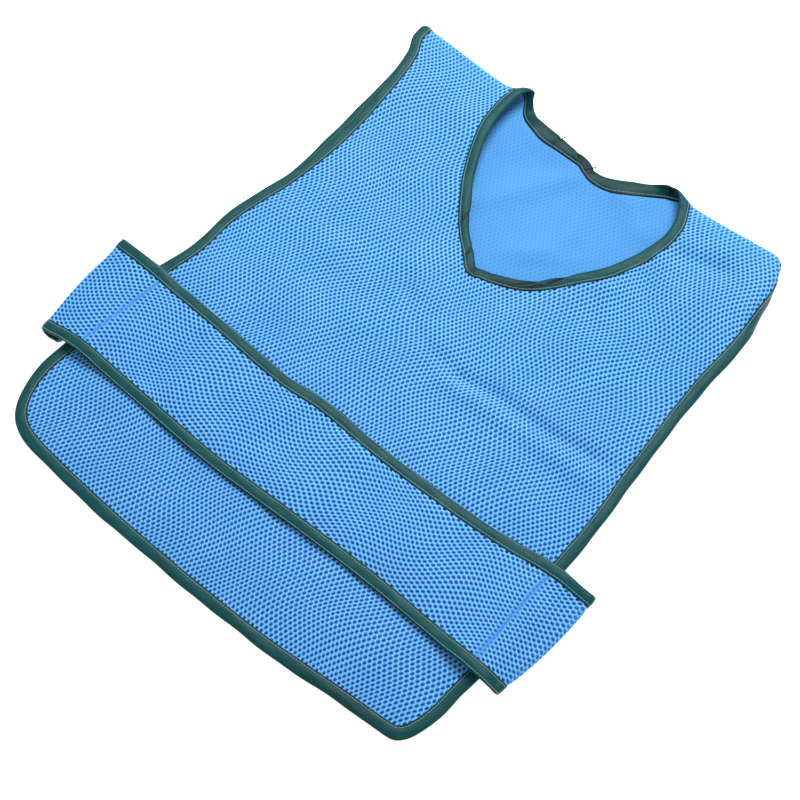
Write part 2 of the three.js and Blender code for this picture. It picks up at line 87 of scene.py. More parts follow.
# p and q of the neck tape's fold: down the left side, round the V, up the right side, over the
# shoulder and back along the neck's rear edge
neckLoop = [
    (-84, 281), (-84, 268), (-84, 252), (-82, 231), (-73, 204), (-61, 178), (-47, 155), (-36, 138),
    (-26, 127), (-14, 117), (-5, 108.6), (-1.2, 105.6), (1.2, 105.2),
    (5, 106), (18, 109.5), (42, 121), (62, 138),
    (77, 156), (94, 175), (103, 192), (112, 213), (117, 238), (116, 259), (110, 275), (103, 285),
    (96, 290), (87, 292), (76, 296), (64, 302), (43, 314.5), (26, 319.5), (10, 314), (-8, 312),
    (-28, 309), (-44, 307.5), (-58, 303.5), (-71, 296), (-77, 292.8), (-81.5, 290.2), (-83.6, 287),
]
neckSpan = (-84, 112)  # between these the back begins at the top of the roll
# half width, height and points of each crease or ridge
frontCreases = [
    (8, -3.6, [(62, 3), (95, 10), (120, 9), (152, 10), (184, 15), (226, 20)]),
    (8, -1.8, [(-34, 44), (-4, 17), (24, 8), (58, 3)]),
    (9, 2.0, [(52, -9), (100, -6), (150, -6), (206, -4)]),
    (8, -1.6, [(-40, 56), (-36, 44)]), (9, -1.4, [(-14, 42), (-4, 36)]),
    (8, 1.8, [(108, 158), (124, 132)]), (8, -1.5, [(126, 190), (150, 164)]),
    (8, 1.6, [(128, 216), (152, 194)]),
    (24, -1.8, [(184, 118), (190, 126)]), (9, 1.3, [(216, 120), (220, 180)]),
    (8, -2.4, [(146, 229), (182, 241)]), (10, 1.4, [(130, 246), (170, 258)]),
    (16, -2.0, [(-190, 58), (-95, 58)]), (20, -1.6, [(-110, 0), (-52, 14)]),
    (45, -4.0, [(-18, 112), (45, 112)]),
]
bandCreases = [
    (9, -2.3, [(-150, -176), (-148, -118)]), (9, 1.1, [(-128, -172), (-126, -118)]),
    (9, -1.7, [(-23, -152), (-21, -118)]), (8, -1.4, [(19, -152), (23, -136)]),
    (30, 1.0, [(120, -160), (124, -110)]),
]
backCreases = [
    (11, 3.6, [(14, 250), (-30, 190), (-46, 165)]), (12, 3.2, [(30, 246), (44, 190), (30, 150)]),
    (11, 3.0, [(60, 255), (96, 236)]), (9, 2.4, [(-52, 268), (-58, 232)]), (9, 2.0, [(8, 140), (60, 168)]),
]
# wave length, direction in degrees, phase and height of the cloth's soft unevenness
ripples = np.array([
    (118, 25, 0.4, 0.45), (83, 100, 1.9, 0.38), (57, 62, 4.2, 0.24),
    (44, 148, 2.7, 0.18), (31, 15, 5.1, 0.09),
], float)
rearNeck = {"height": 4.5, "left": (-75, -50), "right": (70, 95), "front": (294, 308), "behind": (318, 346)}
# p, q, reach and the push x, y, z where the neck tape's corners stand out past the shoulder line
neckPushes = np.array([
    (-82, 289, 11, 3, 9.5, 1.5), (-82, 289.5, 4, 3, 1.5, -0.5), (95, 291, 17, -1, 6, 1.5),
], float)


def ease(value, start, end):
    t = np.clip((value - start) / (end - start), 0, 1)
    return t * t * (3 - 2 * t)


# A column of a table at a value of its first column, on a smooth curve through its rows
def tableAt(rows, column, at):
    keys, values = rows[:, 0], rows[:, column]
    near = np.arange(len(keys))
    after, before = np.minimum(near + 1, len(keys) - 1), np.maximum(near - 1, 0)
    slopes = (values[after] - values[before]) / (keys[after] - keys[before])
    at = np.clip(at, keys[0], keys[-1])
    i = np.clip(np.searchsorted(keys, at, side="right") - 1, 0, len(keys) - 2)
    span = keys[i + 1] - keys[i]
    t = (at - keys[i]) / span
    bend = t * t * (3 - 2 * t)
    level = values[i] * (1 - bend) + values[i + 1] * bend
    return level + span * (slopes[i] * t * (1 - t) ** 2 - slopes[i + 1] * t * t * (1 - t))


def creasesAt(creases, x, y):
    total = np.zeros(np.shape(x))
    for width, height, points in creases:
        nearest = np.full(np.shape(x), np.inf)
        for (x0, y0), (x1, y1) in zip(points[:-1], points[1:]):
            runX, runY = x1 - x0, y1 - y0
            along = np.clip(((x - x0) * runX + (y - y0) * runY) / (runX ** 2 + runY ** 2), 0, 1)
            nearest = np.minimum(nearest, np.hypot(x - x0 - along * runX, y - y0 - along * runY))
        total += height * np.exp(-(nearest / width) ** 2)
    return total


def ripplesAt(x, y):
    total = np.zeros(np.shape(x))
    for length, direction, phase, height in ripples:
        turn = math.radians(direction)
        total += height * np.sin(2 * math.pi * (x * math.cos(turn) + y * math.sin(turn)) / length + phase)
    return total


def insideOf(sides, hem, x, y):
    across = np.minimum(x - tableAt(sides, 1, y), tableAt(sides, 2, y) - x)
    return np.minimum(across, y - tableAt(hem, 1, x))


def frontHeight(x, y):
    inside = insideOf(frontSides, frontHem, x, y)
    high = ease(y, *body["climb"])
    level = body["frontEdge"] + (body["shoulderTop"] - body["frontEdge"]) * high
    swell = 1 - np.exp(-np.maximum(inside - body["tapeWidth"], 0) / body["frontSwell"])
    uneven = creasesAt(frontCreases, x, y) + ripplesAt(x, y)
    return level + body["frontRise"] * (1 - high) * swell + uneven * ease(inside, *body["foldFade"])


def backHeight(x, y):
    inside = np.minimum(insideOf(backSides, backHem, x, y), body["rollY"] - body["backNeckLevel"] - y)
    raisedBy = np.maximum(creasesAt(backCreases, x, y), 0) * ease(inside, *body["backFade"])
    return body["backEdge"] - body["backSag"] * ease(inside, *body["backSettle"]) + raisedBy


# The front's right edge in the flat, cut round at the shoulder's corner
def flatRight(q):
    over = np.clip((q - body["rollY"]) / body["rollRadius"], 0, math.pi / 2)
    y = np.minimum(q, body["rollY"]) + body["rollRadius"] * np.sin(over)
    radius = body["cornerRadius"]
    above = np.clip(y - (body["rollY"] + body["rollRadius"] - radius), 0, radius)
    rounded = radius - np.sqrt(radius ** 2 - above ** 2)
    return tableAt(frontSides, 2, q) - rounded


# Sideways place and drop of that edge
def curledEdge(p, q):
    start = flatRight(q) - body["curlReach"]
    past = p - start
    turn = np.clip(tableAt(curlTurns, 1, q), body["leastTurn"], math.pi)
    bent = math.pi * body["curlRadius"]
    radius = bent / turn
    angle = np.clip(past, 0, bent) / radius
    straight = np.maximum(past - bent, 0)
    x = start + radius * np.sin(angle) + straight * np.cos(angle)
    drop = radius * (1 - np.cos(angle)) + straight * np.sin(angle)
    return np.where(past > 0, x, p), np.where(past > 0, drop, 0)


def sagAt(p):
    return body["sagDepth"] * (1 - ease(np.abs(p - body["sagMiddle"]), *body["sagFade"]))


# The neck's rear edge stands a little off the floor
def rearNeckLift(p, q):
    lift = rearNeck["height"] * ease(p, *rearNeck["left"]) * (1 - ease(p, *rearNeck["right"]))
    return lift * ease(q, *rearNeck["front"]) * (1 - ease(q, *rearNeck["behind"]))


# The body's cloth as one surface: up the front, over the shoulder roll and down the back
def bodyAt(p, q):
    rollY, rollRadius, seamQ = body["rollY"], body["rollRadius"], body["seamQ"]
    x, drop = curledEdge(p, q)
    low = sagAt(x) * ease(q, rollY - body["sagBelow"], rollY)
    front = np.stack([x, q - low, frontHeight(np.minimum(p, x), q) - drop], -1)
    angle = np.clip((q - rollY) / rollRadius, 0, math.pi)
    reach = np.maximum(rollRadius - drop, body["leastReach"])
    over = np.stack([x, rollY - low + reach * np.sin(angle),
                     body["backEdge"] + rollRadius + reach * np.cos(angle)], -1)
    behind = np.maximum(q - seamQ, 0)
    backY = rollY - behind - sagAt(p) * (1 - ease(behind, 0, body["sagBehind"]))
    back = np.stack([p, backY, backHeight(p, backY)], -1)
    place = np.where((q <= rollY)[..., None], front, np.where((q <= seamQ)[..., None], over, back))
    place[..., 2] += rearNeckLift(p, q)
    for atP, atQ, reachPush, *push in neckPushes:
        near = np.exp(-((p - atP) ** 2 + (q - atQ) ** 2) / reachPush ** 2)
        place = place + near[..., None] * np.array(push)
    return place


# The waist band, with its ends folded under into strap loops
band = {
    "level": 17.6, "lift": 1.9, "climb": (195, 222), "middle": -143,
    "fold": {-1: 263, 1: 261}, "slant": {-1: 0.052, 1: 0.12},
    "seam": {-1: 220.3, 1: 231.3}, "seamSlant": {-1: -0.146, 1: 0.047},
    "droopFrom": 243, "loopTop": 15.5, "loopFloor": 3.0, "returnLevel": 13.9, "returnRamp": (243, 252),
    "groove": 1.3, "grooveWidth": 1.7, "bulge": 4.0, "halfWidth": 56, "settle": 1.8,
    "tight": 0.62, "tightFrom": (36, 52), "evenFrom": (8, 20), "settleFrom": 30,
    "ripple": 0.7, "rippleScale": 1.4, "rippleShift": 60,
    "seamShut": 0.9, "seamShutWidth": 2.0, "ownEdges": (-255, 252),
    "strip": 0.7, "stripStart": (-1, 1.5), "stripEnd": (11, 13.5), "stripPast": 4,
    "stripReach": 60, "stripSeam": 2,
}
band["loopRadius"] = (band["loopTop"] - band["loopFloor"]) / 2
# x, lower and upper outer edge of the band's tapes
bandEdges = np.array([
    (-276, -200, -82), (-222, -196, -85), (-152, -199, -88), (-62, -203, -94), (-17, -202, -91),
    (46, -200, -94), (118, -199, -94), (181, -201, -91), (232, -203, -86), (278, -205, -86),
], float)
# how far the folded-under end narrows as it comes back
returnTaper = np.array([(0, 0), (14, 3), (24, 9), (44, 18)], float)


def bySide(p, pair):
    return np.where(p < 0, pair[-1], pair[1])


# The loops are folded tight at their tapes, but for the left lower one, which stays open
def loopRadiusAt(p, q):
    fromMiddle = q - band["middle"]
    staysOpen = (p < 0) & (fromMiddle < 0)
    tight = ease(np.abs(fromMiddle), *band["tightFrom"]) * np.where(staysOpen, 0, band["tight"])
    return band["loopRadius"] * (1 - tight)


def foldStart(p, q):
    fromMiddle = q - band["middle"]
    bulge = band["bulge"] * (1 - np.minimum((fromMiddle / band["halfWidth"]) ** 2, 1))
    fold = bySide(p, band["fold"]) + bySide(p, band["slant"]) * fromMiddle
    return fold + bulge + band["loopRadius"] - loopRadiusAt(p, q)


# Distance from the cross seam that closes each loop
def fromSeam(p, q):
    return np.abs(p) - bySide(p, band["seam"]) - bySide(p, band["seamSlant"]) * (q - band["middle"])


def bandHeight(p, q, start):
    out = np.abs(p)
    lift = band["lift"] * ease(out, *band["climb"])
    droop = (band["level"] + band["lift"] - band["loopTop"]) * ease(out, band["droopFrom"], start)
    groove = band["groove"] * np.exp(-(fromSeam(p, q) / band["grooveWidth"]) ** 2)
    fromTape = np.minimum(q - tableAt(bandEdges, 1, p), tableAt(bandEdges, 2, p) - q)
    middle = ease(fromTape, *band["evenFrom"])
    beside = ease(np.abs(q - band["middle"]), band["settleFrom"], band["halfWidth"])
    settle = band["settle"] * beside * (1 - ease(out, *band["climb"]))
    scale = band["rippleScale"]
    rippled = band["ripple"] * ripplesAt(scale * p + band["rippleShift"], scale * q)
    uneven = rippled - groove + creasesAt(bandCreases, p, q)
    return band["level"] + lift - droop - settle + uneven * middle


def bandAt(p, q):
    side = np.where(p < 0, -1, 1)
    start = foldStart(p, q)
    past = np.abs(p) - start
    top = np.stack([p, q, bandHeight(np.clip(p, -start, start), q, start)], -1)
    radius = loopRadiusAt(p, q)
    loopTurn = math.pi * radius
    angle = np.clip(past / radius, 0, math.pi)
    turned = np.stack([side * (start + radius * np.sin(angle)), q,
                       band["loopTop"] - radius * (1 - np.cos(angle))], -1)
    out = start - (past - loopTurn)
    low = ease(out, *band["returnRamp"])
    level = band["returnLevel"] + (band["loopTop"] - 2 * radius - band["returnLevel"]) * low
    under = np.stack([side * out, q, level], -1)
    return np.where((past <= 0)[..., None], top, np.where((past <= loopTurn)[..., None], turned, under))


def outwardOf(surface, p, q):
    step = 0.4  # to either side of the place
    across = surface(p + step, q) - surface(p - step, q)
    along = surface(p, q + step) - surface(p, q - step)
    outward = np.cross(across, along)
    return outward / np.linalg.norm(outward, axis=-1, keepdims=True)


# Places on a surface, raised along its outward side
def raised(surface, p, q, height):
    return surface(p, q) + outwardOf(surface, p, q) * np.asarray(height)[..., None]


# Evenly spaced points on a smooth curve through flat points
def curveThrough(points, step, closed=False):
    points = np.array(points, float)
    extra = 4
    if closed:
        points = np.vstack([points[-extra:], points, points[:extra + 1]])
    chord = np.concatenate([[0], np.cumsum(np.hypot(*np.diff(points, axis=0).T))])
    rows = np.column_stack([chord, points])
    ends = (chord[extra], chord[-extra - 1]) if closed else (0, chord[-1])
    fine = np.linspace(*ends, int((ends[1] - ends[0]) * 4))
    dense = np.column_stack([tableAt(rows, 1, fine), tableAt(rows, 2, fine)])
    length = np.concatenate([[0], np.cumsum(np.hypot(*np.diff(dense, axis=0).T))])
    even = np.linspace(0, length[-1], int(round(length[-1] / step)) + 1)
    return np.column_stack([np.interp(even, length, dense[:, 0]), np.interp(even, length, dense[:, 1])])


def distanceTo(line, points):
    starts, runs = line[:-1], np.diff(line, axis=0)
    best = np.empty(len(points))
    atOnce = 1500  # points in one round, which keeps the memory small
    for part in np.array_split(np.arange(len(points)), len(points) // atOnce + 1):
        to = points[part, None] - starts
        along = np.clip((to * runs).sum(-1) / (runs ** 2).sum(-1), 0, 1)
        best[part] = np.linalg.norm(to - along[..., None] * runs, axis=-1).min(1)
    return best


def insideLoop(loop, points):
    inside = np.zeros(len(points), bool)
    for (x0, y0), (x1, y1) in zip(loop, np.roll(loop, -1, axis=0)):
        if y0 == y1:
            continue
        crosses = (points[:, 1] < y0) != (points[:, 1] < y1)
        inside ^= crosses & (points[:, 0] < x0 + (points[:, 1] - y0) * (x1 - x0) / (y1 - y0))
    return inside


# A mesh object in the frame's metres from places in millimetres and lists of polygons
def newPiece(name, places, polygonLists, materials, materialOf=None):
    mesh = bpy.data.meshes.new(name)
    flatPlaces = ((places + centring) * millimetre).astype(np.float32)
    loops = np.concatenate([polygons.ravel() for polygons in polygonLists]).astype(np.int32)
    sizes = np.concatenate([np.full(len(polygons), polygons.shape[1]) for polygons in polygonLists])
    mesh.vertices.add(len(flatPlaces))
    mesh.vertices.foreach_set("co", flatPlaces.ravel())
    mesh.loops.add(len(loops))
    mesh.loops.foreach_set("vertex_index", loops)
    mesh.polygons.add(len(sizes))
    mesh.polygons.foreach_set("loop_start", np.concatenate([[0], np.cumsum(sizes)[:-1]]).astype(np.int32))
    for material in materials:
        mesh.materials.append(material)
    if materialOf is not None:
        mesh.polygons.foreach_set("material_index", materialOf.astype(np.int32))
    mesh.update(calc_edges=True)
    mesh.validate()
    mesh.shade_smooth()
    piece = bpy.data.objects.new(name, mesh)
    bpy.context.scene.collection.objects.link(piece)
    print(name, "has", int((sizes - 2).sum()), "triangles")
    return piece


def addAttribute(piece, name, values):
    attribute = piece.data.attributes.new(name, "FLOAT", "POINT")
    attribute.data.foreach_set("value", values.astype(np.float32))


def addMap(piece, name, places):
    corners = np.empty(len(piece.data.loops), np.int32)
    piece.data.loops.foreach_get("vertex_index", corners)
    layer = piece.data.uv_layers.new(name=name)
    layer.data.foreach_set("uv", places[corners].astype(np.float32).ravel())


# Materials
def linearColour(red, green, blue):
    linear = []
    for value in (red, green, blue):
        share = value / 255
        linear.append(share / 12.92 if value < 10.3 else ((share + 0.055) / 1.055) ** 2.4)
    return (*linear, 1)


clothLook = {"sheenRoughness": 0.4, "specular": 0.15}


def newMaterial(name, roughness, sheen):
    material = bpy.data.materials.new(name)
    material.use_nodes = True
    shader = material.node_tree.nodes["Principled BSDF"]
    shader.inputs["Roughness"].default_value = roughness
    shader.inputs["Sheen Weight"].default_value = sheen
    shader.inputs["Sheen Roughness"].default_value = clothLook["sheenRoughness"]
    shader.inputs["Specular IOR Level"].default_value = clothLook["specular"]
    return material, shader


def addNode(tree, kind, inputs=None, **settings):
    node = tree.nodes.new(kind)
    for key, value in settings.items():
        setattr(node, key, value)
    for key, value in (inputs or {}).items():
        if isinstance(value, bpy.types.NodeSocket):
            tree.links.new(value, node.inputs[key])
        else:
            node.inputs[key].default_value = value
    return node


def mixColour(tree, factor, first, second):
    node = addNode(tree, "ShaderNodeMix", data_type="RGBA")
    for socket, value in ((node.inputs[0], factor), (node.inputs[6], first), (node.inputs[7], second)):
        if isinstance(value, bpy.types.NodeSocket):
            tree.links.new(value, socket)
        else:
            socket.default_value = value
    return node.outputs[2]


# The knot colours are painted highlights. The hole colours are painted shade down each hole over the net's
# blue inner layer, from the rim's slope to the darkest middle
meshColours = {
    "knotHighlight": linearColour(146, 212, 252), "knotHighlightDull": linearColour(122, 194, 247),
    "strand": linearColour(84, 164, 236), "holeEdgeShade": linearColour(36, 120, 206),
    "hole": linearColour(0, 58, 130), "holeShadePale": linearColour(4, 80, 164),
    "holeOverTapeAndShade": linearColour(5, 44, 66), "holeShadeOnSlope": linearColour(60, 136, 218),
    "seam": linearColour(68, 144, 226),
    "inside": linearColour(74, 148, 219), "insideDot": linearColour(89, 163, 231),
}
# turns along and across the rows, and strength, of the waves that make up the holes
netWaves = ((1, 0.5, 0.38), (1, -0.5, 0.34), (0, 1, 0.28))


# How far into a hole a place lies, from 1 in its middle to -1 on the thick knots between holes of a row
def makeNetRows():
    group = bpy.data.node_groups.new("netRows", "ShaderNodeTree")
    group.interface.new_socket("Rows", in_out="INPUT", socket_type="NodeSocketVector")
    group.interface.new_socket("Hole", in_out="OUTPUT", socket_type="NodeSocketFloat")
    entry, result = addNode(group, "NodeGroupInput"), addNode(group, "NodeGroupOutput")
    waves = []
    for along, across, strength in netWaves:
        direction = (2 * math.pi * along, 2 * math.pi * across, 0)
        turns = addNode(group, "ShaderNodeVectorMath", {0: entry.outputs["Rows"], 1: direction},
                        operation="DOT_PRODUCT")
        wave = addNode(group, "ShaderNodeMath", {0: turns.outputs["Value"]}, operation="COSINE")
        part = addNode(group, "ShaderNodeMath", {0: wave.outputs[0], 1: strength}, operation="MULTIPLY")
        waves.append(part.outputs[0])
    both = addNode(group, "ShaderNodeMath", {0: waves[0], 1: waves[1]}, operation="ADD").outputs[0]
    total = addNode(group, "ShaderNodeMath", {0: both, 1: waves[2]}, operation="ADD").outputs[0]
    group.links.new(total, result.inputs["Hole"])
    return group


netRows = makeNetRows()
netLook = {
    "roughness": 0.7, "patchScale": 26.0, "patchRange": (0.2, 0.8), "knotHighlightRange": (-0.22, -0.4),
    "edgeRange": (0.0, 0.22), "holeRange": (0.2, 0.6), "shutGain": 1.5,
    "fibreScale": 2600.0, "fibreBump": 0.25, "fibreHeight": 0.0003,
}
insideLook = {"roughness": 0.75, "sheen": 0.1, "dotRange": (-0.6, 0.8), "bump": 0.3, "bumpHeight": 0.0006}


def rangeNode(tree, value, span):
    inputs = {"Value": value, "From Min": span[0], "From Max": span[1]}
    return addNode(tree, "ShaderNodeMapRange", inputs).outputs["Result"]


def attributeNode(tree, name):
    return addNode(tree, "ShaderNodeAttribute", attribute_name=name).outputs["Fac"]


def bumpNode(tree, shader, height, strength, distance):
    inputs = {"Height": height, "Strength": strength, "Distance": distance}
    bump = addNode(tree, "ShaderNodeBump", inputs)
    tree.links.new(bump.outputs["Normal"], shader.inputs["Normal"])


# The holes' pattern at a piece's own rows
def holeNode(tree):
    rows = addNode(tree, "ShaderNodeUVMap", uv_map="rows").outputs["UV"]
    hole = addNode(tree, "ShaderNodeGroup", node_tree=netRows)
    tree.links.new(rows, hole.inputs["Rows"])
    return hole.outputs["Hole"]


def makeNetMaterial():
    material, shader = newMaterial("airMeshNet", netLook["roughness"], 0.0)
    tree = material.node_tree
    hole = holeNode(tree)
    behind = attributeNode(tree, "behind")
    shut = attributeNode(tree, "drawnShut")
    # The attribute stretched marks cloth tilted from flat and the shoulder roll, where the painted hole
    # shade is paler
    stretched = attributeNode(tree, "stretched")
    sunk = attributeNode(tree, "sunk")
    place = addNode(tree, "ShaderNodeTexCoord").outputs["Object"]
    patchInputs = {"Vector": place, "Scale": netLook["patchScale"], "Detail": 3.0}
    patches = addNode(tree, "ShaderNodeTexNoise", patchInputs)
    shine = rangeNode(tree, patches.outputs["Fac"], netLook["patchRange"])
    # Painted highlight on the knots between holes, stronger or weaker in patches
    knotHighlight = mixColour(tree, shine, meshColours["knotHighlightDull"], meshColours["knotHighlight"])
    knotHighlightMask = rangeNode(tree, hole, netLook["knotHighlightRange"])
    rimShadeMask = rangeNode(tree, sunk, netLook["edgeRange"])
    inHole = rangeNode(tree, sunk, netLook["holeRange"])
    nearShut = addNode(tree, "ShaderNodeMath", {0: shut, 1: netLook["shutGain"]},
                       operation="MULTIPLY", use_clamp=True).outputs[0]
    stillOpen = addNode(tree, "ShaderNodeMath", {0: inHole, 1: nearShut},
                        operation="SUBTRACT", use_clamp=True).outputs[0]
    # Painted shade in the holes, paler in patches
    holeShade = mixColour(tree, shine, meshColours["hole"], meshColours["holeShadePale"])
    # Painted hole shade made paler where the cloth tilts from flat and at the shoulder roll
    holeShade = mixColour(tree, stretched, holeShade, meshColours["holeShadeOnSlope"])
    # Holes beside the tapes are darker: partly the tape's under leg, partly painted shade
    holeShade = mixColour(tree, behind, holeShade, meshColours["holeOverTapeAndShade"])
    colour = mixColour(tree, knotHighlightMask, meshColours["strand"], knotHighlight)
    colour = mixColour(tree, nearShut, colour, meshColours["seam"])
    # Painted shade on the slope of each hole's rim, then the darker painted shade of its middle
    colour = mixColour(tree, rimShadeMask, colour, meshColours["holeEdgeShade"])
    colour = mixColour(tree, stillOpen, colour, holeShade)
    tree.links.new(colour, shader.inputs["Base Color"])
    fibreInputs = {"Vector": place, "Scale": netLook["fibreScale"], "Detail": 2.0}
    fibres = addNode(tree, "ShaderNodeTexNoise", fibreInputs)
    bumpNode(tree, shader, fibres.outputs["Fac"], netLook["fibreBump"], netLook["fibreHeight"])
    return material


def makeInsideMaterial():
    material, shader = newMaterial("airMeshInside", insideLook["roughness"], insideLook["sheen"])
    tree = material.node_tree
    dots = rangeNode(tree, holeNode(tree), insideLook["dotRange"])
    colour = mixColour(tree, dots, meshColours["insideDot"], meshColours["inside"])
    tree.links.new(colour, shader.inputs["Base Color"])
    bumpNode(tree, shader, dots, insideLook["bump"], insideLook["bumpHeight"])
    return material


# pressed is a painted shade colour, mixed in along the tape's creases, past its stitch line, along its
# fold, on its under leg and over listed stretches
tapeColours = {
    "dark": linearColour(6, 54, 56), "pale": linearColour(26, 96, 100),
    "pressed": linearColour(2, 30, 34), "thread": linearColour(150, 190, 193),
}
tapeLook = {
    "roughness": 0.4, "sheen": 0.03, "weaveScale": 9.0, "weaveWander": 0.6, "weaveBump": 0.18,
    "weaveHeight": 0.0003, "streakStretch": (0.35, 2.2, 1), "streakScale": 2.2,
}
threadLook = {"roughness": 0.5, "sheen": 0.2, "plyScale": 900.0, "darker": 0.7}


def makeTapeMaterial():
    material, shader = newMaterial("bindingTape", tapeLook["roughness"], tapeLook["sheen"])
    tree = material.node_tree
    flat = addNode(tree, "ShaderNodeUVMap", uv_map="flat").outputs["UV"]
    weaveInputs = {"Vector": flat, "Scale": tapeLook["weaveScale"], "Distortion": tapeLook["weaveWander"]}
    weave = addNode(tree, "ShaderNodeTexWave", {**weaveInputs, "Detail": 1.0}, bands_direction="DIAGONAL")
    stretchInputs = {"Vector": flat, "Scale": tapeLook["streakStretch"]}
    stretched = addNode(tree, "ShaderNodeMapping", stretchInputs).outputs["Vector"]
    streakInputs = {"Vector": stretched, "Scale": tapeLook["streakScale"], "Detail": 4.0}
    streaks = addNode(tree, "ShaderNodeTexNoise", streakInputs)
    # The attribute pressed carries the painted shade
    pressed = attributeNode(tree, "pressed")
    colour = mixColour(tree, streaks.outputs["Fac"], tapeColours["dark"], tapeColours["pale"])
    colour = mixColour(tree, pressed, colour, tapeColours["pressed"])
    tree.links.new(colour, shader.inputs["Base Color"])
    bumpNode(tree, shader, weave.outputs["Fac"], tapeLook["weaveBump"], tapeLook["weaveHeight"])
    return material


def makeThreadMaterial(name, colour):
    material, shader = newMaterial(name, threadLook["roughness"], threadLook["sheen"])
    tree = material.node_tree
    place = addNode(tree, "ShaderNodeTexCoord").outputs["Object"]
    plyInputs = {"Vector": place, "Scale": threadLook["plyScale"], "Detail": 1.0}
    plies = addNode(tree, "ShaderNodeTexNoise", plyInputs)
    darker = tuple(part * threadLook["darker"] for part in colour[:3]) + (1,)
    tree.links.new(mixColour(tree, plies.outputs["Fac"], darker, colour), shader.inputs["Base Color"])
    return material


netMaterial = makeNetMaterial()
insideMaterial = makeInsideMaterial()
tapeMaterial = makeTapeMaterial()
tapeThread = makeThreadMaterial("tapeThread", tapeColours["thread"])
darkThread = makeThreadMaterial("darkThread", tapeColours["dark"])
print("materials made")

# The air mesh: staggered rows of six-sided holes
net = {
    "pitch": 4.5, "rowGap": 3.9, "hole": 1.5, "tall": 1.45, "tilt": 0.3, "depth": 1.45,
    "face": 0.9, "lining": 1.1, "pressed": 0.45, "innerInset": 4.5, "neighbours": 3,
    "tiltPaleRange": (0.02, 0.3), "rollPale": 0.55, "rollReach": (-22, 4),
    "backFrom": 340, "backStretch": 0.07, "tuck": 7.5, "neckTuck": 4.5,
    "tapeShade": 0.75, "tapeShadeReach": (0.4, 3.0), "underFront": 0.3,
}
# size, length along q and p, and phase of the waves by which the net's rows wander
wanderP = ((2.6, 26, 70, 0), (1.5, 13, -31, 2))
wanderQ = ((3.2, 60, 21, 1), (1.9, -25, 12, 0))


def wavesAt(waves, p, q):
    return sum(size * np.sin(q / lengthQ + p / lengthP + phase) for size, lengthQ, lengthP, phase in waves)


# Small wander of the net's rows, which are also a little wider apart down the back
def wander(p, q):
    widened = net["backStretch"] * np.maximum(q - net["backFrom"], 0)
    return p + wavesAt(wanderP, p, q), q + wavesAt(wanderQ, p, q) + widened


# Flat places of places along and across the rows, which run across the cloth where turned
def settled(along, across, turned):
    return np.stack(wander(-across, along) if turned else wander(along, across), -1)


holePoints = 7  # six corners and the middle of each hole


# Polygons between neighbouring holes, from pairs of a hole's place in the list and a corner of it
def linkHoles(holes, corners):
    there = np.all([hole >= 0 for hole in holes], axis=0)
    return np.stack([holes[which][there] * holePoints + corner for which, corner in corners], -1)


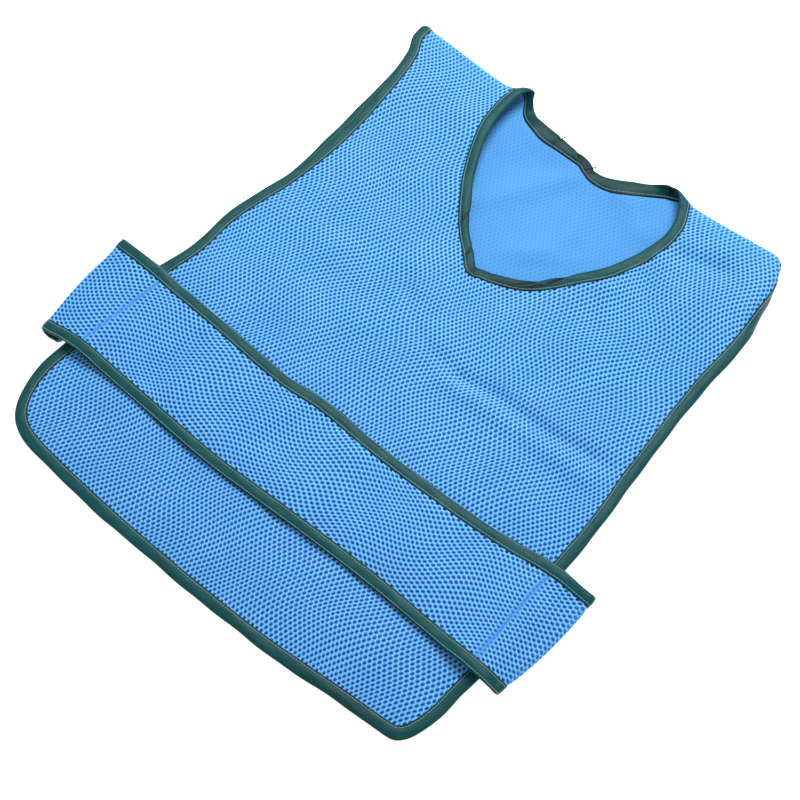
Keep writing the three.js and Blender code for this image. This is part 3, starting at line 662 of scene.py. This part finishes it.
# A net sheet with holes over a plain inner face, closed round its cut edge
def netSheet(name, surface, rowSpan, acrossSpan, turned, keep, closing, behind, lowered, grid):
    rowCount = int((acrossSpan[1] - acrossSpan[0]) / net["rowGap"]) + 1
    holeCount = int((rowSpan[1] - rowSpan[0]) / net["pitch"]) + 1
    i, j = np.meshgrid(np.arange(rowCount), np.arange(holeCount), indexing="ij")
    odd = i % 2
    s = rowSpan[0] + (j + 0.5 * odd) * net["pitch"]
    t = acrossSpan[0] + i * net["rowGap"]
    middles = settled(s, t, turned)
    kept = keep(middles.reshape(-1, 2)).reshape(s.shape)
    for _ in range(2):  # holes with few neighbours go
        wide = np.pad(kept, 1).astype(int)
        around = sum(wide[i + 1 + di, j + 1 + dj] for di, dj in ((0, -1), (0, 1)))
        around += sum(wide[i + 1 + di, j + odd + dj] for di in (-1, 1) for dj in (0, 1))
        kept &= around >= net["neighbours"]
    number = np.full((rowCount + 2, holeCount + 2), -1)
    number[1:-1, 1:-1][kept] = np.arange(kept.sum())
    here, right = number[i + 1, j + 1], number[i + 1, j + 2]
    upRight, upLeft = number[i + 2, j + 1 + odd], number[i + 2, j + odd]

    corners = math.pi / 6 + np.arange(6) * math.pi / 3
    acrossRow = net["hole"] * net["tall"] * np.sin(corners)
    alongRow = net["hole"] * np.cos(corners) + (0 if turned else net["tilt"]) * acrossRow
    rimRows = np.stack([alongRow / net["pitch"], acrossRow / net["rowGap"]], -1)
    middleRows = np.stack([j + 0.5 * odd, i], -1)[kept]
    lean = (1, -1) if turned else (1, 1)
    middles, s, t = middles[kept], s[kept], t[kept]
    size = closing(middles)
    rim = settled(s[:, None] + alongRow * size[:, None], t[:, None] + acrossRow * size[:, None], turned)
    cornerRows = middleRows[:, None] + rimRows * size[:, None, None]
    rows = np.concatenate([cornerRows, middleRows[:, None]], 1).reshape(-1, 2) * lean
    flat = np.concatenate([rim, middles[:, None]], 1).reshape(-1, 2)
    heights = np.tile([net["face"]] * 6 + [0], (len(middles), 1))
    heights[:, 6] = net["face"] - net["depth"] * size

    quads = np.concatenate([
        linkHoles((here, right), ((0, 5), (1, 3), (1, 2), (0, 0))),
        linkHoles((here, upRight), ((0, 0), (1, 4), (1, 3), (0, 1))),
        linkHoles((here, upLeft), ((0, 1), (1, 5), (1, 4), (0, 2))),
    ])
    triangles = np.concatenate([
        linkHoles((here, right, upRight), ((0, 0), (1, 2), (2, 4))),
        linkHoles((here, upRight, upLeft), ((0, 1), (1, 3), (2, 5))),
        *[linkHoles((here,), ((0, k), (0, (k + 1) % 6), (0, 6))) for k in range(6)],
    ])

    # the cut edge is walled down to a coarse inner face
    total = len(flat)
    edges = []
    for polygons in (quads, triangles):
        edges.append(np.stack([polygons, np.roll(polygons, -1, 1)], -1).reshape(-1, 2))
    edges = np.concatenate(edges)
    lone = ~np.isin(edges[:, 0] * total + edges[:, 1], edges[:, 1] * total + edges[:, 0])
    edges = edges[lone]
    rimIds = np.unique(edges)
    grid = grid[keep(grid, net["innerInset"])]
    points = np.concatenate([flat[rimIds], grid])
    local = np.searchsorted(rimIds, edges)
    made = delaunay_2d_cdt([Vector(point) for point in points], local.tolist(), [], 1, 1e-6)
    innerFlat = np.array(made[0])
    newIndex = np.empty(len(points), int)
    for index, sources in enumerate(made[3]):
        newIndex[sources] = index
    innerFaces = np.array(made[2])[:, ::-1] + total
    under = newIndex[local] + total
    walls = np.stack([edges[:, 1], edges[:, 0], under[:, 0], under[:, 1]], -1)

    allFlat = np.concatenate([flat, innerFlat])
    innerHeights = net["pressed"] * behind(innerFlat) - net["lining"]
    allHeights = np.concatenate([heights.ravel(), innerHeights]) - lowered(allFlat)
    places = raised(surface, allFlat[:, 0], allFlat[:, 1], allHeights)
    lists = [quads, triangles, walls, innerFaces]
    inner = np.concatenate([np.full(len(polygons), n == 3) for n, polygons in enumerate(lists)])
    piece = newPiece(name, places, lists, [netMaterial, insideMaterial], inner)
    # behind darkens holes beside the tapes, partly for the under leg and partly as painted shade, and over
    # the band's folded-under ends
    dark = np.repeat(behind(middles), holePoints)
    none = np.zeros(len(innerFlat))
    addAttribute(piece, "behind", np.concatenate([dark, none]))
    addAttribute(piece, "drawnShut", np.concatenate([np.repeat(1 - size, holePoints), none]))
    # Where the painted hole shade is made paler: on cloth tilted from flat and near the shoulder roll, kept
    # in the attribute named stretched
    upright = np.abs(outwardOf(surface, middles[:, 0], middles[:, 1])[:, 2])
    nearRoll = ease(middles[:, 1] - body["rollY"], *net["rollReach"])
    stretched = np.maximum(ease(1 - upright, *net["tiltPaleRange"]), net["rollPale"] * nearRoll)
    addAttribute(piece, "stretched", np.concatenate([np.repeat(stretched, holePoints), none]))
    addAttribute(piece, "sunk", np.concatenate([np.tile([0, 0, 0, 0, 0, 0, 1], len(middles)), none]))
    addMap(piece, "rows", np.concatenate([rows, innerFlat / (net["pitch"], net["rowGap"])]))
    holes = len(middles) * net["pitch"] * net["rowGap"]
    return piece, holes * millimetre ** 2


tapeStep = 1.75
shown = body["tapeWidth"] + 0.6  # the first of the net shows past the tape's own edge
neckLine = curveThrough(neckLoop, tapeStep, closed=True)
leftSide = np.vstack([frontHem[0], frontSides[:, [1, 0]]])
shoulderQ = np.arange(250, body["seamQ"] - 0.4, 5)
rightQ = np.concatenate([frontSides[:-3, 0], shoulderQ])
rightSide = np.vstack([frontHem[-1], np.column_stack([flatRight(rightQ), rightQ])])
overLeft = [(leftSide[-1, 0], q) for q in np.linspace(body["rollY"] + 6, body["seamQ"] - 0.5, 4)]
overShoulder = np.vstack([leftSide, overLeft])[::-1]
frontLine = curveThrough(np.vstack([overShoulder, frontHem[1:-1], rightSide]), tapeStep)
backEdge = np.vstack([
    (backSides[-1, 1], body["rollY"]), backSides[::-1, [1, 0]], backHem,
    backSides[:, [2, 0]], (backSides[-1, 2], body["rollY"]),
])
backEdge[:, 1] = body["seamQ"] + body["rollY"] - backEdge[:, 1]
backLine = curveThrough(backEdge, tapeStep)
neckSpread = (6, 22)  # over these distances past the neck the split moves back to the shoulder seam


# Where the front's net meets the back's
def panelSplit(p):
    near, far = neckSpread
    leftOf, rightOf = neckSpan
    byNeck = ease(p, leftOf - far, leftOf - near) * (1 - ease(p, rightOf + near, rightOf + far))
    return body["seamQ"] + (body["rollY"] - body["seamQ"]) * byNeck


# The back's first rows of holes lie just under the front's last ones
def underFront(points):
    return np.where(points[:, 1] < panelSplit(points[:, 0]), net["underFront"], 0)


# Which places lie inside a panel's edges, past its neck and on its own side of the split
def panelKeep(line, isBack):
    pastShoulder = -60 if isBack else 60
    loop = np.vstack([line, line[-1] + (0, pastShoulder), line[0] + (0, pastShoulder)])

    def keep(points, more=0.0):
        kept = insideLoop(loop, points) & ~insideLoop(neckLine, points)
        ahead = points[:, 1] - panelSplit(points[:, 0])
        kept &= ahead > more - 2 * net["rowGap"] if isBack else ahead < -more
        kept[kept] &= distanceTo(line, points[kept]) > net["tuck"] + more
        kept[kept] &= distanceTo(neckLine, points[kept]) > net["neckTuck"] + more
        return kept

    return keep


# Holes close to the tape are darkened: partly its dark under leg showing, partly painted shade beside its
# raised edge
def darkByTape(lines):
    near, far = net["tapeShadeReach"]

    def behind(points):
        away = np.min([distanceTo(line, points) for line in lines], axis=0)
        return net["tapeShade"] * (1 - ease(away, shown + near, shown + far))

    return behind


def openHoles(points):
    return np.ones(len(points))


def notLowered(points):
    return np.zeros(len(points))


# Points of an inner face from spans of p and q with their steps, finer where the cloth turns
def gridOf(spans):
    grids = [np.meshgrid(np.arange(*p), np.arange(*q)) for p, q in spans]
    return np.vstack([np.stack(grid, -1).reshape(-1, 2) for grid in grids])


rollQ = (body["rollY"] - 41, body["seamQ"] + 1, 2.5)
frontGrid = gridOf((
    ((-246, 246, 9), (-300, -30, 9)), ((-246, 246, 6), (-24, 80, 6)), ((-246, 246, 8), (86, 180, 8)),
    ((-246, 205, 8), (182, 236, 6)), ((-246, 205, 8), rollQ),
    ((207, 246, 2.5), (182, 236, 5)), ((207, 246, 2.5), rollQ),
))
backGrid = gridOf((
    ((-240, 245, 7), (278, 330, 2.5)), ((-240, 245, 8), (332, 480, 8)), ((-240, 245, 12), (488, 890, 12)),
))
panelRows = {"p": (-250, 250), "frontQ": (-305, body["seamQ"] + 3), "backEnd": 890}
backRows = 146  # the back's rows carry on the front's
backStart = panelRows["frontQ"][0] + backRows * net["rowGap"]
frontPiece, frontArea = netSheet(
    "frontMesh", bodyAt, panelRows["p"], panelRows["frontQ"], False, panelKeep(frontLine, False),
    openHoles, darkByTape([frontLine, neckLine]), notLowered, frontGrid)
backPiece, backArea = netSheet(
    "backMesh", bodyAt, panelRows["p"], (backStart, panelRows["backEnd"]), False, panelKeep(backLine, True),
    openHoles, darkByTape([backLine, neckLine]), underFront, backGrid)
print("body panels made")


# The waist band's flat edges, from seam to seam round both loops
def bandEdgeLine(column, inward):
    rows = []
    for side in (-1, 1):
        fold = band["fold"][side]
        q = tableAt(bandEdges, column, np.array(side * fold))
        start = foldStart(np.array(float(side)), q)
        end = fromSeam(side * start, q) - 1
        loopTurn = math.pi * loopRadiusAt(np.array(float(side)), q)
        backs = np.linspace(end, 0, 12)
        narrowed = q + inward * tableAt(returnTaper, 1, backs)
        flat = np.column_stack([side * (start + loopTurn + backs), narrowed])
        turn = np.column_stack([side * (start + np.linspace(loopTurn - 1, 0.5, 6)), np.full(6, q)])
        rows.append(np.vstack([flat, turn]))
    left, right = band["ownEdges"]
    inner = bandEdges[(bandEdges[:, 0] > left) & (bandEdges[:, 0] < right)][:, [0, column]]
    return curveThrough(np.vstack([rows[0], inner, rows[1][::-1]]), tapeStep)


bandLower, bandUpper = bandEdgeLine(1, 1), bandEdgeLine(2, -1)
bandLoop = np.vstack([bandLower, bandUpper[::-1]])


def bandKeep(points, more=0.0):
    kept = insideLoop(bandLoop, points)
    for line in (bandLower, bandUpper):
        kept[kept] &= distanceTo(line, points[kept]) > net["tuck"] + more
    return kept


# Holes are drawn shut along the cross seams
def seamClosing(points):
    away = fromSeam(points[:, 0], points[:, 1]) / band["seamShutWidth"]
    return 1 - band["seamShut"] * np.exp(-away ** 2)


# The folded-under end's own tape shows dark through the holes above it, and holes beside the band's tapes
# get the painted shade of darkByTape
def bandBehind(points):
    dark = darkByTape([bandLower, bandUpper])(points)
    out = np.abs(points[:, 0])
    start = foldStart(points[:, 0], points[:, 1])
    backs = np.clip(start - out, 0, band["stripReach"])
    inset = tableAt(returnTaper, 1, backs)
    lower = points[:, 1] - tableAt(bandEdges, 1, points[:, 0]) - inset
    upper = tableAt(bandEdges, 2, points[:, 0]) - points[:, 1] - inset
    near = np.minimum(lower, upper)
    beyondSeam = fromSeam(points[:, 0], points[:, 1]) > band["stripSeam"]
    overReturn = beyondSeam & (out < start + band["stripPast"])
    strip = ease(near, *band["stripStart"]) * (1 - ease(near, *band["stripEnd"])) * overReturn
    return np.maximum(dark, band["strip"] * strip)


bandRows = {"across": (-215, -70), "along": (-336, 336)}
gridAcross = (-200, -80, 6)
bandGrid = gridOf((
    ((-328, -234, 2), gridAcross), ((-232, 234, 6), gridAcross), ((236, 330, 2), gridAcross),
))
bandPiece, bandArea = netSheet(
    "waistBandMesh", bandAt, bandRows["across"], bandRows["along"], True, bandKeep, seamClosing, bandBehind,
    notLowered, bandGrid)
print("waist band made")

# Folded tape: place in from the fold and height of its outer face and of its inner face,
# from the top leg's edge to the fold
tapeRows = np.array([
    (11.6, 1.20, 11.5, 0.93), (11.1, 1.50, 11.0, 0.95), (10.4, 1.62, 10.3, 0.95), (9.6, 1.40, 9.6, 0.95),
    (8.8, 1.75, 8.8, 1.00), (7.2, 2.10, 7.2, 1.15), (5.2, 2.25, 5.2, 1.20), (3.2, 2.10, 3.4, 1.15),
    (1.4, 1.65, 2.0, 0.95), (0.3, 0.90, 1.1, 0.50),
], float)
tapeFold = np.array([(0, 0, 0.8, 0)], float)
tapeSection = np.vstack([tapeRows, tapeFold, tapeRows[::-1] * (1, -1, 1, -1)])
tape = {
    "puffFrom": 1.25, "puffOver": 0.8, "leastPuff": -0.9, "ridge": 0.9, "ridgeAway": 1.6, "notchShade": 0.9,
    "edgeShade": 0.5, "edgeReach": (9.9, 10.4), "foldShade": 0.35, "foldReach": (0.3, 1.4), "mapScale": 10,
    "seamReach": 9.6, "seamHeight": 1.55, "foldSeamReach": 1.5, "foldSeamHeight": 1.85, "flatWidth": 0.025,
}
# size, length along the tape and share of the seed in the waves of its fold
foldWaves = ((0.35, 17, 1), (0.25, 7.3, 2), (0.2, 41, 1))
# size, length along the tape, share of the seed and lean in the waves of its faces
puffWaves = ((0.20, 13, 3, 0.3), (0.16, 5.1, 1, -0.4))


# How near each place along a line is to a flat place, from 1 there to 0 well past the span
def nearness(line, p, q, span):
    return np.exp(-((line[:, 0] - p) ** 2 + (line[:, 1] - q) ** 2) / span ** 2)


def tapeSheet(name, line, surface, turn, closed=False, seed=0.0, widths=(), creases=(), shades=(),
              innerShade=0.0):
    ahead = np.roll(line, -1, 0) - np.roll(line, 1, 0) if closed else np.gradient(line, axis=0)
    ahead = ahead / np.linalg.norm(ahead, axis=1, keepdims=True)
    inward = np.column_stack([-ahead[:, 1], ahead[:, 0]]) * turn
    for p, q, span, change in widths:
        inward = inward * (1 + change * nearness(line, p, q, span))[:, None]
    s = np.arange(len(line)) * tapeStep
    outer, inner = tapeSection[:, :2], tapeSection[:, 2:][::-1]
    ring = np.vstack([outer, inner])
    fromFold, faceHeight = ring[None, :, 0], ring[None, :, 1]
    towardsFold = 1 - fromFold / tapeRows[0, 0]
    wave = sum(size * np.sin(s / length + share * seed) for size, length, share in foldWaves)
    along = s[:, None]
    puff = sum(size * np.sin(along / length + share * seed + lean * fromFold)
               for size, length, share, lean in puffWaves)
    notch = np.zeros(puff.shape)
    for p, q, lean, depth, width in creases:
        at = s[np.hypot(line[:, 0] - p, line[:, 1] - q).argmin()]
        away = (along - at - lean * (fromFold - tapeRows[0, 0] / 2)) / width
        ridge = tape["ridge"] * depth * np.exp(-(away - tape["ridgeAway"]) ** 2)
        puff = puff - depth * np.exp(-away ** 2) + ridge
        notch = notch + depth * np.exp(-away ** 2)
    # pressed is painted shade: in the twists' creases, from the stitch line to the tape's edge, along the
    # fold, on the under leg and over the listed shaded stretches
    pressed = np.clip(tape["notchShade"] * notch, 0, 1)
    pressed = pressed + tape["edgeShade"] * ease(fromFold, *tape["edgeReach"])
    pressed = pressed + tape["foldShade"] * (1 - ease(fromFold, *tape["foldReach"]))
    pressed = pressed + innerShade * (faceHeight < 0)
    for p, q, span, amount in shades:
        pressed = pressed + amount * nearness(line, p, q, span)[:, None]
    reach = fromFold + (wave[:, None] + notch) * towardsFold
    free = np.clip((np.abs(faceHeight) - tape["puffFrom"]) / tape["puffOver"], 0, 1)
    height = faceHeight + np.sign(faceHeight) * np.maximum(puff, tape["leastPuff"]) * free
    flat = line[:, None] + inward[:, None] * reach[..., None]
    places = raised(surface, flat[..., 0], flat[..., 1], height)
    count = len(ring)
    spans = np.arange(len(line) if closed else len(line) - 1)
    k = np.arange(count)
    here = spans[:, None] * count
    there = (spans[:, None] + 1) % len(line) * count
    following = (k + 1) % count
    quads = np.stack([here + k, here + following, there + following, there + k], -1).reshape(-1, 4)
    half = len(outer)
    caps = []
    if not closed:
        step = np.arange(half - 1)
        for station, flip in ((0, 1), (len(line) - 1, -1)):
            cap = np.stack([step, count - 1 - step, count - 2 - step, step + 1], -1) + station * count
            caps.append(cap[:, ::flip])
    quads = np.concatenate([quads, *caps])
    if turn < 0:
        quads = quads[:, ::-1]
    piece = newPiece(name, places.reshape(-1, 3), [quads], [tapeMaterial])
    around = np.concatenate([[0], np.cumsum(np.hypot(*np.diff(ring, axis=0).T))])
    addAttribute(piece, "pressed", np.clip(pressed, 0, 1).ravel())
    flatMap = np.stack(np.broadcast_arrays(s[:, None], around), -1).reshape(-1, 2)
    addMap(piece, "flat", flatMap / tape["mapScale"])
    return piece, s[-1] * millimetre, (line, inward, surface)


# place, span and strength of the shaded stretches along the hem
hemShades = [(165, -293, 55, 0.3), (40, -297, 80, 0.1), (235, -270, 40, 0.1)]
frontTape, frontTapeLength, frontTapeRun = tapeSheet(
    "frontEdgeTape", frontLine, bodyAt, 1, seed=0.3, shades=hemShades)
backTape, backTapeLength, backTapeRun = tapeSheet("backEdgeTape", backLine, bodyAt, -1, seed=1.1)
# place, span and share by which the neck tape is wider or narrower
neckWidths = [
    (-80, 290, 10, -0.35), (-30, 130, 24, -0.12), (0.3, 105.3, 3.5, 0.14), (-36, 306, 24, 0.45),
    (52, 306, 34, 0.5),
]
# place, lean, depth and width of the neck tape's twists and joins
neckTwists = [
    (-40, 137, 0.9, 1.0, 2.6), (-15, 114, 0.9, 1.0, 2.4), (0, 105, 0.0, 0.8, 2.0),
    (56, 131, -4.0, 1.5, 8.0), (34, 116, -4.0, 1.3, 8.0), (110, 275, 0.0, 0.5, 2.0),
    (92, 291, 0.0, 1.0, 2.0), (20.5, 316, 0.3, 1.1, 2.0), (4, 310, -1.2, 0.9, 2.8),
    (-24.5, 307, 0.0, 0.7, 1.4),
]
# place, span and strength of the neck tape's shaded stretches, beside the V and at the rear
neckShades = [(22, 111, 22, 0.4), (10, 312, 12, 0.2)]
neckTape, neckTapeLength, neckTapeRun = tapeSheet(
    "neckTape", neckLine[:-1], bodyAt, -1, closed=True, seed=2.3, widths=neckWidths, creases=neckTwists,
    shades=neckShades, innerShade=0.45)
upperTape, upperTapeLength, upperTapeRun = tapeSheet("bandUpperTape", bandUpper, bandAt, -1, seed=3.7)
lowerTape, lowerTapeLength, lowerTapeRun = tapeSheet("bandLowerTape", bandLower, bandAt, 1, seed=4.9)
print("tapes made")

# One stitch, rounded at both ends, which is copied along every seam
stitch = {"length": 3.2, "gap": -0.5, "radius": 0.34}


def stitchShape():
    bpy.ops.object.select_all(action="DESELECT")
    bpy.ops.mesh.primitive_uv_sphere_add(segments=5, ring_count=3, radius=1)
    model = bpy.context.object
    bpy.ops.object.mode_set(mode="EDIT")
    bpy.ops.mesh.select_all(action="SELECT")
    bpy.ops.transform.rotate(value=math.pi / 2, orient_axis="Y", center_override=(0, 0, 0))
    bpy.ops.transform.resize(value=(stitch["length"] / 2, stitch["radius"], stitch["radius"]))
    bpy.ops.mesh.quads_convert_to_tris()
    bpy.ops.object.mode_set(mode="OBJECT")
    places = np.array([vertex.co for vertex in model.data.vertices])
    faces = np.array([polygon.vertices for polygon in model.data.polygons])
    bpy.data.objects.remove(model)
    return places, faces


stitchPlaces, stitchFaces = stitchShape()


# A seam's line along a tape, and the same line a little higher, which gives its upward side
def sewnLine(run, reach, height):
    line, inward, surface = run
    flat = line + inward * reach
    heights = np.full(len(flat), height)
    under = raised(surface, flat[:, 0], flat[:, 1], heights)
    over = raised(surface, flat[:, 0], flat[:, 1], heights + 1.0)
    return under, over


# Places on a line at distances along it
def placesAt(line, length, where):
    return np.stack([np.interp(where, length, line[:, axis]) for axis in range(3)], -1)


def stitches(name, lines, material, size=1.0):
    places, faces = [], []
    count = 0
    for under, over in lines:
        length = np.concatenate([[0], np.cumsum(np.linalg.norm(np.diff(under, axis=0), axis=1))])
        every = size * (stitch["length"] + stitch["gap"])
        at = np.arange(every / 2, length[-1] - every / 2, every)
        middle = placesAt(under, length, at)
        along = placesAt(under, length, at + 1) - placesAt(under, length, at - 1)
        along /= np.linalg.norm(along, axis=1, keepdims=True)
        up = placesAt(over, length, at) - middle
        side = np.cross(up, along)
        side /= np.linalg.norm(side, axis=1, keepdims=True)
        up = np.cross(along, side)
        axes = np.stack([along, side, up], 1)
        made = middle[:, None] + size * stitchPlaces @ axes
        places.append(made.reshape(-1, 3))
        offsets = count + np.arange(len(at)) * len(stitchPlaces)
        faces.append((stitchFaces[None] + offsets[:, None, None]).reshape(-1, 3))
        count += made.shape[0] * made.shape[1]
    return newPiece(name, np.concatenate(places), [np.concatenate(faces)], [material])


edgeSeam = (tape["seamReach"], tape["seamHeight"])
innerSeam = (tape["seamReach"], -tape["seamHeight"])
foldSeam = (tape["foldSeamReach"], tape["foldSeamHeight"])
tapeStitches = stitches("tapeStitches", [
    sewnLine(frontTapeRun, *edgeSeam), sewnLine(neckTapeRun, *edgeSeam), sewnLine(neckTapeRun, *innerSeam),
    sewnLine(upperTapeRun, *edgeSeam), sewnLine(lowerTapeRun, *edgeSeam),
    sewnLine(upperTapeRun, *foldSeam), sewnLine(lowerTapeRun, *foldSeam), sewnLine(backTapeRun, *innerSeam),
], tapeThread)
# surface, then flat place and height along each loose thread end
looseEnds = [
    (bodyAt, [(-24.5, 311.5, -2.0), (-23.4, 308.5, -2.2), (-21.5, 305, -2.2)]),
    (bodyAt, [(18, 321, -2.6), (21, 317.8, -2.8), (25, 313, -2.8)]),
    (bandAt, [
        (207, -101.5, 1.4), (211, -103, 1.5), (215, -101.8, 1.4), (219, -104.5, 1.4), (222, -103, 1.3),
        (224, -98, 1.6),
    ]),
]
endSizes = {"dark": 2.0, "pale": 0.6}  # size beside that of a stitch


def looseLine(surface, points):
    keys = np.arange(len(points))
    fine = np.linspace(0, len(points) - 1, 8 * len(points))
    rows = np.column_stack([keys, np.array(points, float)])
    p, q, height = tableAt(rows, 1, fine), tableAt(rows, 2, fine), tableAt(rows, 3, fine)
    return raised(surface, p, q, height), raised(surface, p, q, height + 1.0)


darkLines = [looseLine(*end) for end in looseEnds[:-1]]
darkEnds = stitches("darkThreadEnds", darkLines, darkThread, endSizes["dark"])
paleEnd = stitches("paleThreadEnd", [looseLine(*looseEnds[-1])], tapeThread, endSizes["pale"])
print("stitches made")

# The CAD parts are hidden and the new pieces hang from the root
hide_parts("front_panel")
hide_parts("back_panel")
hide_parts("waist_band")
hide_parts("front_edge_binding")
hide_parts("back_edge_binding")
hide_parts("neck_binding")
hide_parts("waist_band_upper_binding")
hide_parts("waist_band_lower_binding")
netPieces = (frontPiece, backPiece, bandPiece)
tapePieces = (frontTape, backTape, neckTape, upperTape, lowerTape, tapeStitches, darkEnds, paleEnd)
for slotName, pieces in (("air_mesh", netPieces), ("binding_tape", tapePieces)):
    for piece in pieces:
        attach(piece, "root")

# Pale floor, soft light and the camera
view = {"aim": (27.9, -43.2, 0), "distance": 1369.8, "azimuth": 39.2, "elevation": 65.0, "lens": 68.49,
        "sensor": 36}
light = {"world": 0.45, "overhead": 32.0, "overheadSize": 1.0, "overheadPlace": (-0.2, 1.0, 1.5)}
floorLook = {"size": 6, "level": -0.0003, "roughness": 0.9, "colour": (0.93, 0.93, 0.93, 1), "glow": 0.8}
white = (1, 1, 1, 1)


def makeFloor():
    bpy.ops.mesh.primitive_plane_add(size=floorLook["size"], location=(0, 0, floorLook["level"]))
    floor = bpy.context.object
    floor.name = "floor"
    material, shader = newMaterial("paleFloor", floorLook["roughness"], 0.0)
    shader.inputs["Base Color"].default_value = floorLook["colour"]
    shader.inputs["Emission Color"].default_value = white
    shader.inputs["Emission Strength"].default_value = floorLook["glow"]
    floor.data.materials.append(material)


def makeLight():
    world = bpy.data.worlds.new("softRoom")
    world.use_nodes = True
    background = world.node_tree.nodes["Background"]
    background.inputs["Color"].default_value = white
    background.inputs["Strength"].default_value = light["world"]
    bpy.context.scene.world = world
    bpy.ops.object.light_add(type="AREA", location=light["overheadPlace"])
    lamp = bpy.context.object
    lamp.data.size = light["overheadSize"]
    lamp.data.energy = light["overhead"]
    lamp.rotation_euler = (-Vector(lamp.location)).to_track_quat("-Z", "Y").to_euler()


def makeCamera():
    azimuth, elevation = math.radians(view["azimuth"]), math.radians(view["elevation"])
    level = math.cos(elevation)
    ahead = Vector((-math.sin(azimuth) * level, math.cos(azimuth) * level, -math.sin(elevation)))
    aim = Vector((np.array(view["aim"]) + centring) * millimetre)
    bpy.ops.object.camera_add(location=aim - ahead * view["distance"] * millimetre)
    camera = bpy.context.object
    camera.rotation_euler = ahead.to_track_quat("-Z", "Y").to_euler()
    camera.data.lens = view["lens"]
    camera.data.sensor_width = view["sensor"]
    bpy.context.scene.camera = camera


makeFloor()
makeLight()
makeCamera()
bpy.context.scene.view_settings.view_transform = "Standard"
print("stage made")
